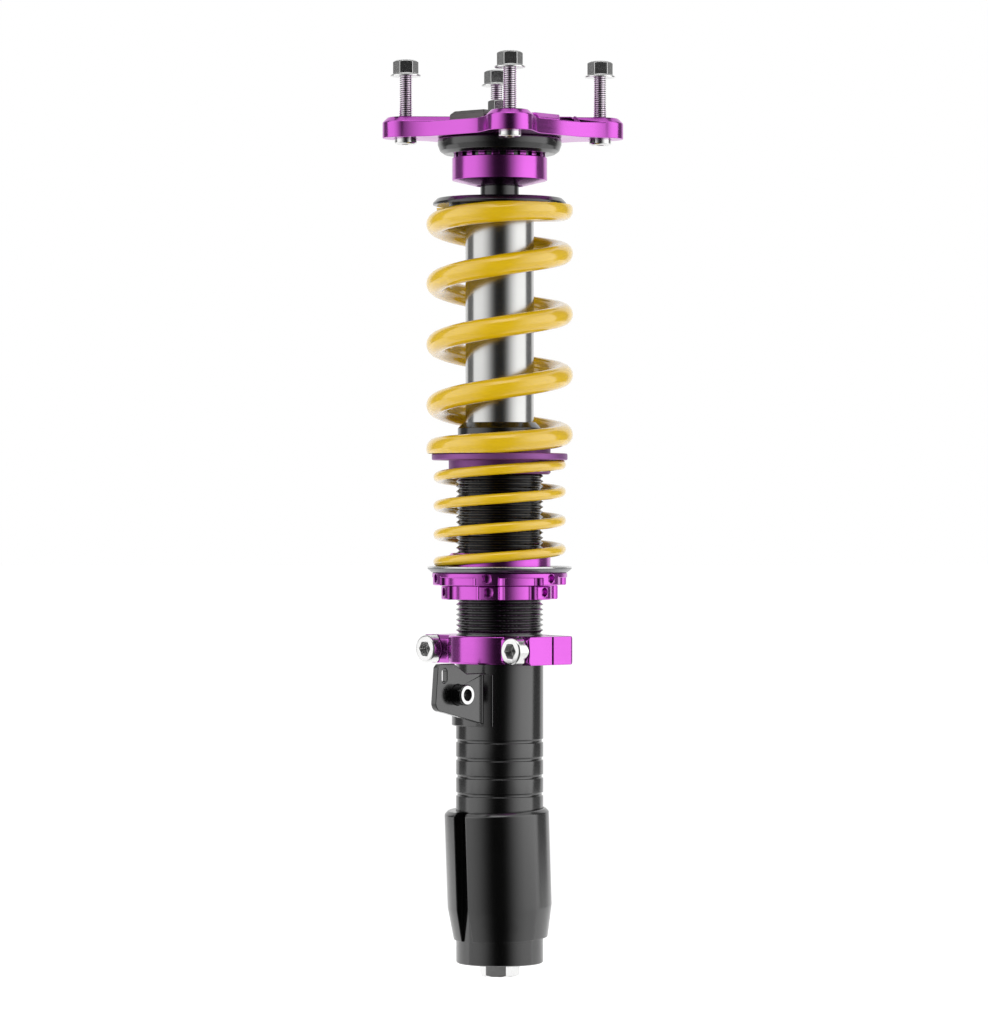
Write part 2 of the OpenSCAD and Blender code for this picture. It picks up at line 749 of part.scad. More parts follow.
module clamp_screws() {
    color("silver") clamp_frame() at_clamp_screws()
        socket_screw(clamp_head_d, clamp_head_h, clamp_shank_d, clamp_shank_len, clamp_socket);
}

// ---- Gland, bushes and what the rod carries ----

wiper_z = tube_top + gland_h - 9;
wiper_h = 5;
wiper_wall = 2.4;
wiper_d = cylinder_d + 2 * wiper_wall;

module gland_cap() {
    r = gland_d / 2;
    bore = cylinder_d / 2 + loose;
    color([0.08, 0.08, 0.09]) difference() {
        rotate_extrude() polygon([[bore, tube_top - gland_plug], [tube_bore / 2 - tapped, tube_top - gland_plug],
            [tube_bore / 2 - tapped, tube_top], [r, tube_top], [r, tube_top + gland_h - gland_bevel],
            [r - gland_bevel, tube_top + gland_h], [bore, tube_top + gland_h]]);
        translate([0, 0, wiper_z]) cylinder(h = wiper_h, d = wiper_d);
    }
}

module wiper_seal() {
    color([0.05, 0.05, 0.05]) ring(wiper_z, wiper_h, wiper_d, cylinder_d + 2 * running);
}

module guide_bush(z) {
    color("peru") ring(z, bush_len, tube_bore, cylinder_d + 2 * running);
}

module upper_bush() {
    guide_bush(tube_top - gland_plug - bush_len - 1);
}

module lower_bush() {
    guide_bush(cylinder_z + bush_lap);
}

module piston_rod() {
    color("gainsboro") difference() {
        union() {
            translate([0, 0, floor_z]) cylinder(h = shoulder_z - floor_z, d = rod_d);
            translate([0, 0, floor_z]) cylinder(h = post_top - floor_z, d = post_d);
        }
        translate([0, 0, floor_z - past])
            cylinder(h = foot_grip + 2 * past, d = foot_shank_d + 2 * tapped);
    }
}

piston_d = cylinder_bore - 2 * loose;
band_h = piston_h * 0.55;
band_groove = 3;

module piston() {
    color("goldenrod") difference() {
        ring(piston_z, piston_h, piston_d, post_d + 2 * tapped);
        ring(piston_z + (piston_h - band_h) / 2, band_h, piston_d + 2, piston_d - band_groove);
        for (i = [0 : 5]) rotate([0, 0, 60 * i]) translate([(post_d + piston_d) / 4, 0, piston_z - past])
            cylinder(h = piston_h + 2 * past, d = port_d);
    }
}

module piston_band() {
    color("saddlebrown") ring(piston_z + (piston_h - band_h) / 2, band_h,
        cylinder_bore - 2 * running, piston_d - band_groove);
}

// The stack on each side of the piston steps down away from it
module valve_shims() {
    color("lightgray") for (side = [-1, 1]) for (i = [0 : 3]) {
        face = side < 0 ? piston_z : upper_shims_z;
        step = shims_h / 4;
        ring(side < 0 ? face - (i + 1) * step : face + i * step, step,
             post_d + 16 - 3 * i, post_d + 2 * tapped);
    }
}

module piston_nut() {
    color("gray") translate([0, 0, piston_nut_z]) difference() {
        hex(piston_nut_flats, piston_nut_h);
        translate([0, 0, -past]) cylinder(h = piston_nut_h + 2 * past, d = post_d + 2 * tapped);
    }
}

module rebound_bumper() {
    color("darkolivegreen") ring(rebound_z, rebound_len, rod_d + 10, rod_d + 2 * tapped);
}

module bump_stop() {
    color("khaki") difference() {
        ring(floor_z, bump_len, bump_d, rod_d + 2 * loose);
        for (i = [1 : 2]) ring(floor_z + bump_len * i / 3 - 1.5, 3, bump_d + 2, bump_d - 6);
    }
}

// ---- Rings on the thread, slip ring and coupler ----

// Flat shape of one spanner pocket in a ring of radius r, along +X, as a round cutter leaves it
module pocket_shape(r) {
    cutter_r = pocket_depth - 0.3;
    half_angle = 180 / land_count - land_half_angle - asin(cutter_r / r);
    out = 2 * r;
    difference() {
        polygon([[0, 0], [out * cos(half_angle), -out * sin(half_angle)],
                 [out * cos(half_angle), out * sin(half_angle)]]);
        circle(r = r - pocket_depth);
    }
    for (side = [-1, 1]) rotate(side * half_angle) translate([r, 0]) circle(r = cutter_r);
}

// Cuts the pockets to a height h and the spanner holes at height hole_z out of a ring
module spanner_cuts(d, h, hole_z) {
    for (i = [0 : land_count - 1]) rotate([0, 0, land_at + 360 / land_count * i]) {
        rotate([0, 0, 180 / land_count]) translate([0, 0, -past]) linear_extrude(h + past)
            pocket_shape(d / 2);
        translate([d / 2 - spanner_hole_depth, 0, hole_z]) rotate([0, 90, 0])
            cylinder(h = spanner_hole_depth + past, d = spanner_hole_d);
    }
}

module adjuster_ring() {
    r = adjuster_d / 2;
    collar_r = adjuster_collar_d / 2;
    collar_h = adjuster_h + adjuster_collar_h;
    color([0.62, 0.22, 0.72]) translate([0, 0, adjuster_z]) difference() {
        rotate_extrude() polygon([[bore_over_thread / 2, 0], [r - 0.5, 0], [r, 0.5], [r, adjuster_h - 0.5],
            [r - 0.5, adjuster_h], [collar_r, adjuster_h], [collar_r, collar_h - 1.5],
            [collar_r - 1.5, collar_h], [bore_over_thread / 2, collar_h]]);
        spanner_cuts(adjuster_d, adjuster_h - adjuster_rim_h, adjuster_h / 2 + spanner_rise);
    }
}

module lock_ring() {
    r = lock_d / 2;
    color([0.62, 0.22, 0.72]) translate([0, 0, lock_z]) difference() {
        rotate_extrude() polygon([[bore_over_thread / 2, 0], [r - 0.5, 0], [r, 0.5], [r, lock_h - 0.5],
            [r - 0.5, lock_h], [bore_over_thread / 2, lock_h]]);
        spanner_cuts(lock_d, lock_h + past, lock_h / 2 + spanner_rise);
    }
}

module slip_ring() {
    r = slip_ring_d / 2;
    color([0.2, 0.2, 0.21]) translate([0, 0, slip_z]) rotate_extrude() polygon([
        [slip_bore / 2, 0], [r - 2.5, 0], [r, slip_ring_h * 0.6], [r, slip_ring_h - 0.4],
        [r - 0.4, slip_ring_h], [slip_bore / 2, slip_ring_h]]);
}

module spring_coupler() {
    r = coupler_d / 2;
    collar_r = adjuster_collar_d / 2;
    color([0.45, 0.24, 0.5]) rotate_extrude() polygon([
        [bore_over_thread / 2, coupler_z - coupler_collar_len], [collar_r - 1, coupler_z - coupler_collar_len],
        [collar_r, coupler_z - coupler_collar_len + 1], [collar_r, coupler_z],
        [r - 0.5, coupler_z], [r, coupler_z + 0.5], [r, main_z - 0.5], [r - 0.5, main_z],
        [spigot_d / 2, main_z], [spigot_d / 2, main_z + spigot_len - 1],
        [spigot_d / 2 - 1, main_z + spigot_len], [bore_over_thread / 2, main_z + spigot_len]]);
}

// ---- Damper ----

module damper_cylinder() {
    color("gainsboro") ring(cylinder_z, cylinder_top - cylinder_z, cylinder_d, cylinder_bore);
}

module seal_retainer() {
    color("dimgray") ring(cylinder_z, retainer_h, cylinder_bore, rod_d + 4 * loose);
}

module rod_seal() {
    color([0.05, 0.05, 0.05]) ring(seal_z, seal_h, cylinder_bore, rod_d + 2 * running);
}

module rod_guide() {
    color("darkgray") ring(guide_z, guide_len, cylinder_bore, rod_d + 2 * running);
}

floating_groove_h = 5;
floating_groove = 4;

module floating_piston() {
    color("lightsteelblue") difference() {
        translate([0, 0, floating_z]) cylinder(h = floating_h, d = cylinder_bore - 2 * tapped);
        ring(floating_z + (floating_h - floating_groove_h) / 2, floating_groove_h,
             cylinder_bore + 2, cylinder_bore - 2 * floating_groove);
        translate([0, 0, floating_z + 5]) cylinder(h = floating_h, d = cylinder_bore / 2);
    }
}

module floating_ring() {
    color([0.05, 0.05, 0.05]) ring(floating_z + (floating_h - floating_groove_h) / 2, floating_groove_h,
        cylinder_bore - 2 * running, cylinder_bore - 2 * floating_groove);
}

shoulder_d = pin_d + 6;   // of the step on the pin that the upper seat sits round

// The cap closes the cylinder and carries the pin that the top mount swivels on
module end_cap() {
    color("gray") {
        translate([0, 0, cylinder_top - cap_plug_len]) cylinder(h = cap_plug_len, d = cylinder_bore);
        translate([0, 0, cylinder_top]) cylinder(h = cap_flange_h, d = cylinder_d);
        translate([0, 0, seat_z]) cylinder(h = seat_h, d = shoulder_d);
        translate([0, 0, seat_top]) cylinder(h = pin_top - seat_top, d = pin_d);
        translate([0, 0, pin_top]) turned_hex(tip_flats, tip_len, 0.6);
    }
}

module upper_seat() {
    r = seat_d / 2;
    hole = shoulder_d / 2;
    color([0.08, 0.08, 0.09]) rotate_extrude() polygon([
        [hole, seat_z], [cylinder_d / 2 + loose, seat_z], [cylinder_d / 2 + loose, seat_z - spigot_len],
        [spigot_d / 2 - 1, seat_z - spigot_len], [spigot_d / 2, seat_z - spigot_len + 1],
        [spigot_d / 2, seat_z], [r, seat_z], [r, seat_top - seat_bevel], [r - seat_bevel, seat_top],
        [hole, seat_top]]);
}

module seat_spacer() {
    color([0.1, 0.1, 0.11]) ring(seat_top, spacer_len, spacer_d, pin_d + 2 * tapped);
}

module pin_washer() {
    color("silver") ring(washer_z, pin_washer_h, pin_d + 6, pin_d + 2 * tapped);
}

module pin_nut() {
    color("silver") translate([0, 0, pin_nut_z]) difference() {
        turned_hex(pin_nut_flats, pin_nut_h, 0.5);
        translate([0, 0, -past]) cylinder(h = pin_nut_h + 2 * past, d = pin_d + 2 * tapped);
    }
}

// ---- Swivel bearing ----

module swivel_ball() {
    color("gainsboro") difference() {
        intersection() {
            translate([0, 0, pivot_z]) sphere(d = ball_d);
            translate([0, 0, ball_z]) cylinder(h = ball_w, d = ball_d + 2);
        }
        translate([0, 0, ball_z - past]) cylinder(h = ball_w + 2 * past, d = pin_d + 2 * running);
    }
}

module bearing_race() {
    color("darkgray") difference() {
        translate([0, 0, race_z]) cylinder(h = race_w, d = race_d);
        translate([0, 0, pivot_z]) sphere(d = ball_d + 2 * running);
    }
}

module bearing_cup() {
    r = cup_d / 2;
    color([0.62, 0.22, 0.72]) difference() {
        rotate_extrude() polygon([[mouth_r, cup_z], [mouth_r + 1, cup_z], [r, cup_z + cup_cone_h],
            [r, cup_top - rim_h], [r - 1, cup_top - rim_h], [r - 1, cup_top], [neck_d / 2, cup_top],
            [neck_d / 2, neck_z], [race_d / 2, neck_z], [race_d / 2, race_z], [mouth_r, race_z]]);
        for (i = [0 : rim_slots - 1]) rotate([0, 0, 360 / rim_slots * i])
            translate([neck_d / 2 - past, -rim_slot_w / 2, cup_top - rim_h]) cube([past + r, rim_slot_w, rim_h + past]);
    }
}

// Children are placed at each of the slider's screws
module at_slider_screws() {
    rotate([0, 0, camber_turn]) for (x = [-1, 1], y = [-1, 1])
        translate([x * slider_screw_along, y * slider_screw_across, 0]) children();
}

module carrier_ring() {
    r = carrier_d / 2;
    lip_r = race_d / 2 - 3.5;
    color([0.1, 0.1, 0.11]) difference() {
        rotate_extrude() polygon([[race_d / 2, neck_z], [neck_d / 2, neck_z], [neck_d / 2, cup_top],
            [r - carrier_inset, cup_top], [r - carrier_inset / 3, cup_top + carrier_h * 0.2],
            [r, cup_top + carrier_h * 0.6], [r, carrier_top - 0.5], [r - 0.5, carrier_top],
            [carrier_bore / 2, carrier_top], [carrier_bore / 2, cup_top], [lip_r, cup_top],
            [lip_r, race_z + race_w], [race_d / 2, race_z + race_w]]);
        at_slider_screws() translate([0, 0, cup_top + 1.5])
            cylinder(h = carrier_h, d = slider_screw_d + 2 * tapped);
    }
}

// ---- Camber slider ----

// A bar along X with its two long top edges chamfered
module chamfered_bar(len, w, h, chamfer) {
    rotate([90, 0, 90]) translate([0, 0, -len / 2]) linear_extrude(len)
        polygon([[-w / 2, 0], [w / 2, 0], [w / 2, h - chamfer], [w / 2 - chamfer, h],
                 [-w / 2 + chamfer, h], [-w / 2, h - chamfer]]);
}

module camber_slider() {
    hole_w = pin_d + 4 * loose;
    sink = (slider_head_d - slider_screw_d) / 2;
    color([0.32, 0.31, 0.31]) difference() {
        translate([0, 0, slider_z]) rotate([0, 0, camber_turn]) intersection() {
            chamfered_bar(slider_len, slider_w, slider_h, slider_chamfer);
            rotate([0, 0, 90]) chamfered_bar(slider_w, slider_len, slider_h, slider_chamfer);
        }
        translate([0, 0, slider_z - past]) rotate([0, 0, camber_turn])
            linear_extrude(slider_h + 2 * past) obround(hole_w + 2 * pin_swing, hole_w);
        at_slider_screws() {
            translate([0, 0, slider_z - past]) cylinder(h = slider_h + 2 * past, d = slider_screw_d + 2 * loose);
            translate([0, 0, slider_top - sink - loose])
                cylinder(h = sink + loose, d1 = slider_screw_d, d2 = slider_head_d + 2 * loose);
        }
    }
}

module slider_screws() {
    sink = (slider_head_d - slider_screw_d) / 2;
    color("silver") at_slider_screws() difference() {
        union() {
            translate([0, 0, cup_top + 2]) cylinder(h = slider_top - cup_top - 2, d = slider_screw_d);
            translate([0, 0, slider_top - sink]) cylinder(h = sink, d1 = slider_screw_d, d2 = slider_head_d);
        }
        translate([0, 0, slider_top - 2]) hex(3, 2 + past);
    }
}

// ---- Top plate, its studs and nuts ----

plate_offset = [camber_offset / sqrt(2), camber_offset / sqrt(2)];

module plate_frame() {
    translate([plate_offset[0], plate_offset[1], 0]) children();
}

// Flat outline of the lower tier: four lobes whose flanks flare out to the diagonal edges
module plate_outline() {
    reach = norm([stud_at - corner_far, corner_near]);
    // direction, from the lobe's centre, in which the flank leaves the lobe, and a point just inside it
    touch = 180 - atan2(corner_near, stud_at - corner_far) - acos(lobe_r / reach);
    in_r = lobe_r - 0.2;
    for (turn = plate_turns) rotate(turn) {
        translate([stud_at, 0]) circle(r = lobe_r);
        polygon([[0, 0], [corner_near, -corner_far], [corner_far, -corner_near],
                 [stud_at + in_r * cos(touch), -in_r * sin(touch)],
                 [stud_at + in_r * cos(touch), in_r * sin(touch)],
                 [corner_far, corner_near], [corner_near, corner_far]]);
    }
}

// The upper tier: a chamfered pad along each lobe, joined across two of the diagonal edges
module plate_pads() {
    edge = (corner_far + corner_near) / sqrt(2);
    for (turn = plate_turns) rotate([0, 0, turn]) {
        translate([stud_at / 2, 0, 0]) chamfered_bar(stud_at, 2 * lobe_r, upper_tier_h, pad_chamfer);
        translate([stud_at, 0, 0]) {
            cylinder(h = upper_tier_h - pad_chamfer, r = lobe_r);
            translate([0, 0, upper_tier_h - pad_chamfer])
                cylinder(h = pad_chamfer, r1 = lobe_r, r2 = lobe_r - pad_chamfer);
        }
    }
    for (turn = [-camber_turn, 180 - camber_turn]) rotate([0, 0, turn])
        intersection() {
            translate([edge / 2, 0, 0]) rotate([0, 0, 90])
                chamfered_bar(sqrt(2) * (corner_far - corner_near), edge, upper_tier_h, pad_chamfer);
            translate([0, -stud_at, 0]) cube([edge, 2 * stud_at, upper_tier_h]);
        }
}

module top_plate() {
    color([0.62, 0.22, 0.72]) plate_frame() difference() {
        union() {
            translate([0, 0, plate_z]) linear_extrude(lower_tier_h) plate_outline();
            translate([0, 0, tier_z]) difference() {
                plate_pads();
                // the channel that the slider runs in
                rotate([0, 0, camber_turn]) translate([-stud_at, -channel_w / 2, 0])
                    cube([2 * stud_at, channel_w, upper_tier_h + past]);
                // reliefs beside the pads, either side of the channel's line
                translate([relief_at, -stud_at, 0]) cube([relief_w, stud_at - lobe_r, upper_tier_h + past]);
                translate([-stud_at, relief_at, 0]) cube([stud_at - lobe_r, relief_w, upper_tier_h + past]);
            }
        }
        translate([0, 0, plate_z - past]) rotate([0, 0, camber_turn])
            linear_extrude(lower_tier_h + 2 * past) obround(plate_slot_len, plate_slot_w);
        at_studs() {
            translate([0, 0, plate_z - past]) cylinder(h = plate_top - plate_z + 2 * past, d = stud_d + 0.4);
            translate([0, 0, plate_z - past])
                cylinder(h = stud_head_h - stud_head_proud + past, d = stud_head_d + 2 * loose);
        }
    }
}

// Children are placed at each stud, all facing the same way
module at_studs() {
    for (turn = plate_turns) translate([stud_at * cos(turn), stud_at * sin(turn), 0]) children();
}

module stud_screws() {
    shank_z = plate_z - stud_head_proud;
    color("silver") plate_frame() at_studs() {
        translate([0, 0, shank_z])
            socket_screw(stud_head_d, stud_head_h, stud_shank_d, nut_z + nut_h - 1 - shank_z - stud_head_h, 6);
        translate([0, 0, plate_top]) cylinder(h = stud_free, d = stud_d);
    }
}

module flange_nuts() {
    color("silver") plate_frame() at_studs() translate([0, 0, nut_z]) difference() {
        union() {
            cylinder(h = nut_flange_h * 0.5, d = nut_flange_d);
            translate([0, 0, nut_flange_h * 0.5])
                cylinder(h = nut_flange_h * 0.5, d1 = nut_flange_d, d2 = nut_flats);
            turned_hex(nut_flats, nut_h, 1);
        }
        translate([0, 0, -past]) cylinder(h = nut_h + 2 * past, d = stud_shank_d + 2 * tapped);
    }
}

strut_tube();
knuckle_collar();
foot_bolt();
link_bracket();
bracket_boss();
clamp_front();
clamp_rear();
clamp_screws();
gland_cap();
wiper_seal();
upper_bush();
lower_bush();
piston_rod();
piston();
piston_band();
valve_shims();
piston_nut();
rebound_bumper();
bump_stop();
slip_ring();
helper_spring();
adjuster_ring();
lock_ring();
spring_coupler();
damper_cylinder();
rod_guide();
rod_seal();
seal_retainer();
floating_piston();
floating_ring();
end_cap();
main_spring();
upper_seat();
seat_spacer();
pin_washer();
pin_nut();
swivel_ball();
bearing_race();
bearing_cup();
carrier_ring();
camber_slider();
slider_screws();
top_plate();
stud_screws();
flange_nuts();
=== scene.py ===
"""Looks for the coilover strut: two wound springs, cut threads, anodised, ground and painted finishes."""

import json
import math

import bmesh
import bpy
from mathutils import Matrix, Vector


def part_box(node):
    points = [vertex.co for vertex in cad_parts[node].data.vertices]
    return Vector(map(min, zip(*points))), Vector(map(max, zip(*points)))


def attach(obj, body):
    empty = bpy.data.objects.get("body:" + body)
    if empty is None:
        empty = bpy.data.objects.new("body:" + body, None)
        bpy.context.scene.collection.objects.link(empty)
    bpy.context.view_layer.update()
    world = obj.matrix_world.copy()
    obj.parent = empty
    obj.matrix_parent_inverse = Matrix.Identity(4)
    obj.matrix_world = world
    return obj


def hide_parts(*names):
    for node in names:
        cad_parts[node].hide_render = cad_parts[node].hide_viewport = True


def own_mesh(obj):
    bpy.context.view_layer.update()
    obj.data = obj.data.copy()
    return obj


MM = 0.001
TURN = 2 * math.pi

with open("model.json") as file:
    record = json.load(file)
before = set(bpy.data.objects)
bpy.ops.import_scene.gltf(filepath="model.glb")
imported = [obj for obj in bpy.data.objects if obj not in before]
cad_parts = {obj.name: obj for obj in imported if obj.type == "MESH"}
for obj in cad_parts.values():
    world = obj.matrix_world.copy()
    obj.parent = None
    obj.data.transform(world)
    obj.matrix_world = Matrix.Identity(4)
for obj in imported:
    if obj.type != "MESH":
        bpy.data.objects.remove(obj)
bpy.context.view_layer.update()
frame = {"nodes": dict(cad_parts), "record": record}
NODES = frame["nodes"]


def low(node):
    """A node's lowest corner, in millimetres."""
    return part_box(node)[0] / MM


def high(node):
    """A node's highest corner, in millimetres."""
    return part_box(node)[1] / MM


# ---- Shader tools ----

def new_math(nodes, operation, value=None):
    """A number node, with a constant for its second input where one is given."""
    node = nodes.new("ShaderNodeMath")
    node.operation = operation
    if value is not None:
        node.inputs[1].default_value = value
    return node


def map_range(nodes, links, value, from_low, from_high, to_low, to_high):
    """A value moved from one range of numbers to another."""
    node = nodes.new("ShaderNodeMapRange")
    for socket, number in zip(("From Min", "From Max", "To Min", "To Max"),
                              (from_low, from_high, to_low, to_high)):
        node.inputs[socket].default_value = number
    links.new(value, node.inputs["Value"])
    return node.outputs["Result"]


def blend(nodes, links, value, lowest, highest, dark, light):
    """A colour that runs from dark to light as a value goes from lowest to highest."""
    mix = nodes.new("ShaderNodeMix")
    mix.data_type = "RGBA"
    mix.inputs["A"].default_value = (*dark, 1)
    mix.inputs["B"].default_value = (*light, 1)
    links.new(map_range(nodes, links, value, lowest, highest, 0, 1), mix.inputs["Factor"])
    return mix.outputs["Result"]


# ---- Camera and studio ----

CAMERA_AZIMUTH = math.radians(-3.8)
CAMERA_DISTANCE = 2.632
CAMERA_HEIGHT = 0.230
CAMERA_LEFT = 0.0033
LENS = 158.2
FLOOR = -0.16
TO_CAMERA = Vector((math.sin(CAMERA_AZIMUTH), -math.cos(CAMERA_AZIMUTH), 0))
TO_RIGHT = Vector((math.cos(CAMERA_AZIMUTH), math.sin(CAMERA_AZIMUTH), 0))


def add_camera():
    """A long lens level with the strut's middle, nearly square to it."""
    place = TO_CAMERA * CAMERA_DISTANCE - TO_RIGHT * CAMERA_LEFT + Vector((0, 0, CAMERA_HEIGHT))
    bpy.ops.object.camera_add(location=place, rotation=(math.radians(90), 0, CAMERA_AZIMUTH))
    camera = bpy.context.object
    camera.data.lens = LENS
    camera.data.sensor_width = 36
    camera.data.clip_end = 50
    bpy.context.scene.camera = camera


def round_the_strut(angle, distance, height):
    """A place at an angle, in degrees, from the camera's side round to its right."""
    turned = Matrix.Rotation(math.radians(angle), 3, "Z") @ TO_CAMERA
    return turned * distance + Vector((0, 0, height))


def facing_strut(angle):
    """The turn of a panel that stands at that angle and faces the strut."""
    return (math.radians(90), 0, CAMERA_AZIMUTH + math.radians(angle))


def add_softbox(name, angle, width, tall, strength, distance=1.7, height=0.25, glossy=False):
    """A soft lamp that lights the strut; gloss sees it only where asked."""
    bpy.ops.object.light_add(type="AREA", location=round_the_strut(angle, distance, height),
                             rotation=facing_strut(angle))
    light = bpy.context.object
    light.name = name
    light.data.shape = "RECTANGLE"
    light.data.size = width
    light.data.size_y = tall
    light.data.energy = strength * width * tall * math.pi
    light.visible_camera = False
    light.visible_glossy = glossy
    return light


def stage_material(name):
    """A material with nothing in it but its output, for the studio's own things."""
    mat = bpy.data.materials.new(name)
    mat.use_nodes = True
    nodes = mat.node_tree.nodes
    nodes.clear()
    return mat, nodes, mat.node_tree.links, nodes.new("ShaderNodeOutputMaterial").inputs["Surface"]


def seen_rays(nodes, links):
    """1 for rays that see the background: the camera's, and those off metal or through glass."""
    path = nodes.new("ShaderNodeLightPath")
    both = new_math(nodes, "MAXIMUM")
    links.new(path.outputs["Is Camera Ray"], both.inputs[0])
    links.new(path.outputs["Is Glossy Ray"], both.inputs[1])
    every = new_math(nodes, "MAXIMUM")
    links.new(both.outputs[0], every.inputs[0])
    links.new(path.outputs["Is Transmission Ray"], every.inputs[1])
    return every.outputs[0]


def gloss_only(obj):
    """Leaves a reflector or a flag to gloss alone."""
    obj.visible_camera = obj.visible_diffuse = obj.visible_shadow = False
    obj.visible_transmission = False


# Brightness of the round wall by angle from the camera, in degrees, towards either side
WALL_BANDS = [(0, 0.02), (12, 0.03), (18, 0.10), (25, 0.30), (32, 0.62), (39, 0.95), (46, 1.25), (55, 1.5),
              (62, 1.7), (97, 1.8), (101, 0.20), (132, 0.20), (140, 1.0), (180, 1.0)]
# The left side's bright bands, between these angles, have this share of the right side's brightness
LEFT_FROM, LEFT_TO, LEFT_SHARE = 18, 100, 0.8
# A colour ramp holds no more than 1, so it holds the bands' brightness over this
BAND_SCALE = 2
WALL_RADIUS, WALL_TALL, WALL_MIDDLE = 2.4, 2.95, 1.31
BOARD_LIFT = 0.004


def left_level(turn, level):
    """A band's brightness on the left side."""
    return level * LEFT_SHARE if LEFT_FROM < turn < LEFT_TO else level


def banded_glow(name, strength):
    """Light that goes round the strut in the wall's bands, by the angle from the camera."""
    mat, nodes, links, surface = stage_material(name)
    glow = nodes.new("ShaderNodeEmission")
    glow.inputs["Strength"].default_value = strength * BAND_SCALE
    where = nodes.new("ShaderNodeTexCoord")
    split = nodes.new("ShaderNodeSeparateXYZ")
    links.new(where.outputs["Object"], split.inputs[0])
    front = new_math(nodes, "MULTIPLY", -1)
    links.new(split.outputs["Y"], front.inputs[0])
    angle = new_math(nodes, "ARCTAN2")
    links.new(split.outputs["X"], angle.inputs[0])
    links.new(front.outputs[0], angle.inputs[1])
    bands = nodes.new("ShaderNodeValToRGB")
    stops = [(-turn, left_level(turn, level)) for turn, level in reversed(WALL_BANDS[1:])]
    stops += WALL_BANDS
    ramp = bands.color_ramp
    while len(ramp.elements) < len(stops):
        ramp.elements.new(1)
    for element, (turn, level) in zip(ramp.elements, stops):
        element.position = (turn + 180) / 360
    for element, (turn, level) in zip(ramp.elements, stops):
        element.color = (*(level / BAND_SCALE,) * 3, 1)
    links.new(map_range(nodes, links, angle.outputs[0], -math.pi, math.pi, 0, 1), bands.inputs["Fac"])
    links.new(bands.outputs["Color"], glow.inputs["Color"])
    links.new(glow.outputs[0], surface)
    return mat


def add_wall():
    """A tall round wall that only gloss sees: dark in front, bright at both sides, then a grey strip."""
    bpy.ops.mesh.primitive_cylinder_add(vertices=128, radius=WALL_RADIUS, depth=WALL_TALL,
                                        end_fill_type="NOTHING", location=(0, 0, WALL_MIDDLE),
                                        rotation=(0, 0, CAMERA_AZIMUTH))
    wall = bpy.context.object
    wall.name = "round_wall"
    wall.data.materials.append(banded_glow("wall_bands", 1))
    gloss_only(wall)


def add_board_under():
    """The wall's bands carried on over the front of the floor, so that what faces down falls off as
    the sides do."""
    height = FLOOR + BOARD_LIFT
    bpy.ops.mesh.primitive_circle_add(vertices=64, radius=WALL_RADIUS - 0.01, fill_type="NGON",
                                      location=(0, 0, height), rotation=(0, 0, CAMERA_AZIMUTH))
    board = bpy.context.object
    board.name = "board_under"
    bpy.ops.object.mode_set(mode="EDIT")
    bpy.ops.mesh.select_all(action="SELECT")
    bpy.ops.mesh.bisect(plane_co=(0, 0, height), plane_no=-TO_CAMERA, clear_outer=True)
    bpy.ops.object.mode_set(mode="OBJECT")
    board.data.materials.append(banded_glow("board_bands", 0.6))
    gloss_only(board)


def add_board_over():
    """A black board overhead behind the strut, so that what faces up falls off too."""
    height, behind = 2.2, 1.7
    mat, nodes, links, surface = stage_material("board_black")
    matt = nodes.new("ShaderNodeEmission")
    matt.inputs["Color"].default_value = (0.03, 0.03, 0.03, 1)
    links.new(matt.outputs[0], surface)
    bpy.ops.mesh.primitive_plane_add(size=1, location=Vector((0, 0, height)) - TO_CAMERA * behind,
                                     rotation=(0, 0, CAMERA_AZIMUTH))
    board = bpy.context.object
    board.name = "board_over"
    board.scale = (1.8, 2.6, 1)
    board.data.materials.append(mat)
    gloss_only(board)


def add_floor():
    """A pale floor that the background's white lies over, so that it keeps the strut's shadow."""
    mat, nodes, links, surface = stage_material("floor_white")
    both = nodes.new("ShaderNodeAddShader")
    matt = nodes.new("ShaderNodeBsdfDiffuse")
    matt.inputs["Color"].default_value = (0.86, 0.86, 0.86, 1)
    glow = nodes.new("ShaderNodeEmission")
    share = new_math(nodes, "MULTIPLY", 0.6)
    links.new(seen_rays(nodes, links), share.inputs[0])
    links.new(share.outputs[0], glow.inputs["Strength"])
    links.new(matt.outputs[0], both.inputs[0])
    links.new(glow.outputs[0], both.inputs[1])
    links.new(both.outputs[0], surface)
    bpy.ops.mesh.primitive_plane_add(size=60, location=(0, 0, FLOOR))
    floor = bpy.context.object
    floor.name = "floor"
    floor.data.materials.append(mat)


def add_world():
    """A white background for the rays that see it, and half of that as fill for all others."""
    world = bpy.data.worlds.new("studio")
    bpy.context.scene.world = world
    world.use_nodes = True
    nodes, links = world.node_tree.nodes, world.node_tree.links
    nodes.clear()
    out = nodes.new("ShaderNodeOutputWorld")
    mix = nodes.new("ShaderNodeMixShader")
    for socket, strength in ((1, 0.5), (2, 1.0)):
        light = nodes.new("ShaderNodeBackground")
        light.inputs["Color"].default_value = (1, 1, 1, 1)
        light.inputs["Strength"].default_value = strength
        links.new(light.outputs[0], mix.inputs[socket])
    links.new(seen_rays(nodes, links), mix.inputs["Fac"])
    links.new(mix.outputs[0], out.inputs["Surface"])


def add_lamps():
    """A pair of soft lamps at each of three angles, and one overhead that gloss sees too."""
    for side, word in ((1, "right"), (-1, "left")):
        add_softbox("softbox_" + word, side * 68, width=1.6, tall=1.8, strength=1.6)
        add_softbox("feather_" + word, side * 34, width=0.6, tall=1.8, strength=0.45, distance=1.9)
        add_softbox("softbox_behind_" + word, side * 138, width=1.2, tall=1.8, strength=0.9, distance=1.9)
    overhead = add_softbox("softbox_over", 0, width=1.2, tall=1.0, strength=0.9, distance=1.0, height=2.2,
                           glossy=True)
    overhead.rotation_euler = (math.radians(27), 0, CAMERA_AZIMUTH)


